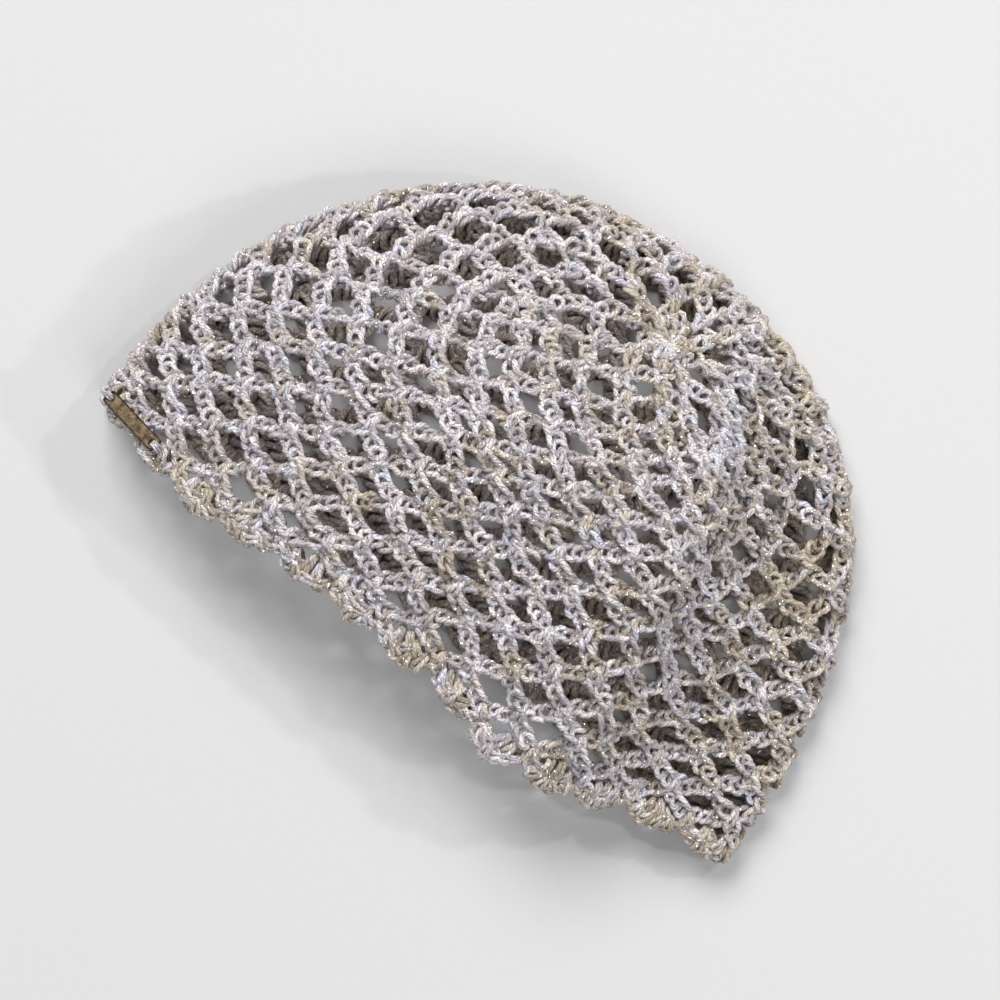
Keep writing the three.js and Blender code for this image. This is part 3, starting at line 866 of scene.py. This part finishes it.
def plate_frame():
    """The plate's middle and its axes: along the brim, towards the crown and away from the wall."""
    at, share = PLATE_PLACE["round"], PLATE_PLACE["share"]
    loop = net.read(net.points, np.full(net.COLUMNS, at), np.arange(net.COLUMNS) / net.COLUMNS)
    half = PLATE["length"] / 2 / np.linalg.norm(loop - np.roll(loop, 1, axis=0), axis=1).sum()
    rounds = np.array([at, at, at - PLATE_SLOPE["above"], at + PLATE_SLOPE["below"]])
    left, right, near, far = net.read(net.points, rounds, share + np.array([half, -half, 0.0, 0.0]))
    along = (right - left) / np.linalg.norm(right - left)
    face = np.cross(along, near - far)
    face /= np.linalg.norm(face)
    across = np.cross(face, along)
    turn, roll = math.radians(PLATE_PLACE["turn"]), math.radians(PLATE_PLACE["roll"])
    turned = along * math.cos(turn) + across * math.sin(turn)
    middle = (left + right) / 2 + face * PLATE_PLACE["lift"]
    across = np.cross(face, turned)
    rolled = face * math.cos(roll) - across * math.sin(roll)
    return middle, turned, np.cross(rolled, turned), rolled


def rounded_route(values, at):
    """One coordinate of a smooth route through its stops, at places counted in stops."""
    padded = np.concatenate([[2 * values[0] - values[1]], values, [2 * values[-1] - values[-2]]])
    low = np.minimum(np.floor(at).astype(int), len(values) - 2)
    t = at - low
    a, b, c, d = padded[low], padded[low + 1], padded[low + 2], padded[low + 3]
    bend = (2 * a - 5 * b + 4 * c - d) * t ** 2
    return 0.5 * (2 * b + (c - a) * t + bend + (3 * b - a - 3 * c + d) * t ** 3)


def plate_strands(name, side):
    """Strands that come up through the outer side of the plate's hole and go down past its end."""
    middle, along, across, face = plate_frame()
    yarn = YarnMesh(name)
    for strand in PLATE_STRANDS:
        stops = np.array([
            (
                side * (PLATE["length"] / 2 + stop["past_end"]),
                strand["shift"] * stop["spread"],
                stop["height"] + strand["rise"] * stop["rises"],
            )
            for stop in STRAND_STOPS
        ])
        places = np.linspace(0, len(stops) - 1, STRAND_STEPS)
        curve = np.stack([rounded_route(stops[:, axis], places) for axis in range(3)], axis=-1)
        yarn.add(middle + curve @ np.array([along, across, face]), radius=PLATE_STRAND)
    return yarn


def name_tag():
    """The CAD plate, antique on its sunk face and darker all round it."""
    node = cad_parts["name_tag_plate"]
    plate = add_piece("name_tag", node.data.copy(), face_bronze)
    plate.matrix_world = node.matrix_world.copy()
    plate.data.materials.append(edge_bronze)
    middle, _, _, face = plate_frame()
    sunk_face = PLATE["thickness"] - PLATE["recess"]
    for polygon in plate.data.polygons:
        height = (np.array(polygon.center) / MM + BOX_MIDDLE - middle) @ face
        polygon.material_index = 0 if abs(height - sunk_face) < PLATE["recess"] / 4 else 1
    settle(plate, "tag_metal", "name_tag_plate")


work_hat()
settle(plate_strands("tag_strands_left", -1).build(silver_yarn), "tag_thread", "tag_stitch_left")
settle(plate_strands("tag_strands_right", 1).build(silver_yarn), "tag_thread", "tag_stitch_right")
name_tag()


# Room and camera
def floor():
    bpy.ops.mesh.primitive_plane_add(size=FLOOR_SIZE)
    plane = bpy.context.object
    plane.name = "studio_floor"
    plane.data.materials.append(floor_look())


def area_light(name, place, size, power, colour):
    data = bpy.data.lights.new(name, "AREA")
    data.size = size
    data.energy = power
    data.color = colour
    light = bpy.data.objects.new(name, data)
    light.location = place
    light.rotation_euler = (-Vector(place)).to_track_quat("-Z", "Y").to_euler()
    bpy.context.collection.objects.link(light)


def sky():
    world = bpy.data.worlds.new("studio")
    world.use_nodes = True
    background = world.node_tree.nodes["Background"]
    background.inputs["Color"].default_value = SKY["colour"]
    background.inputs["Strength"].default_value = SKY["strength"]
    bpy.context.scene.world = world
    bpy.context.scene.view_settings.view_transform = "Standard"


def camera():
    data = bpy.data.cameras.new("camera")
    data.sensor_width = SENSOR_WIDTH
    view_width = PHOTO_WIDTH / PIXELS_PER_MM * MM
    data.lens = data.sensor_width * CAMERA_DISTANCE / view_width
    eye = bpy.data.objects.new("camera", data)
    turn = math.radians(CAMERA_TURN)
    right = Vector((math.cos(turn), math.sin(turn), 0.0))
    up = Vector((-math.sin(turn), math.cos(turn), 0.0))
    back = Vector((0.0, 0.0, 1.0))
    facing = Matrix((right, up, back)).transposed().to_4x4()
    eye.matrix_world = Matrix.Translation(Vector(CAMERA_TARGET) * MM + back * CAMERA_DISTANCE) @ facing
    bpy.context.collection.objects.link(eye)
    bpy.context.scene.camera = eye


floor()
for light in LIGHTS:
    area_light(**light)
sky()
camera()
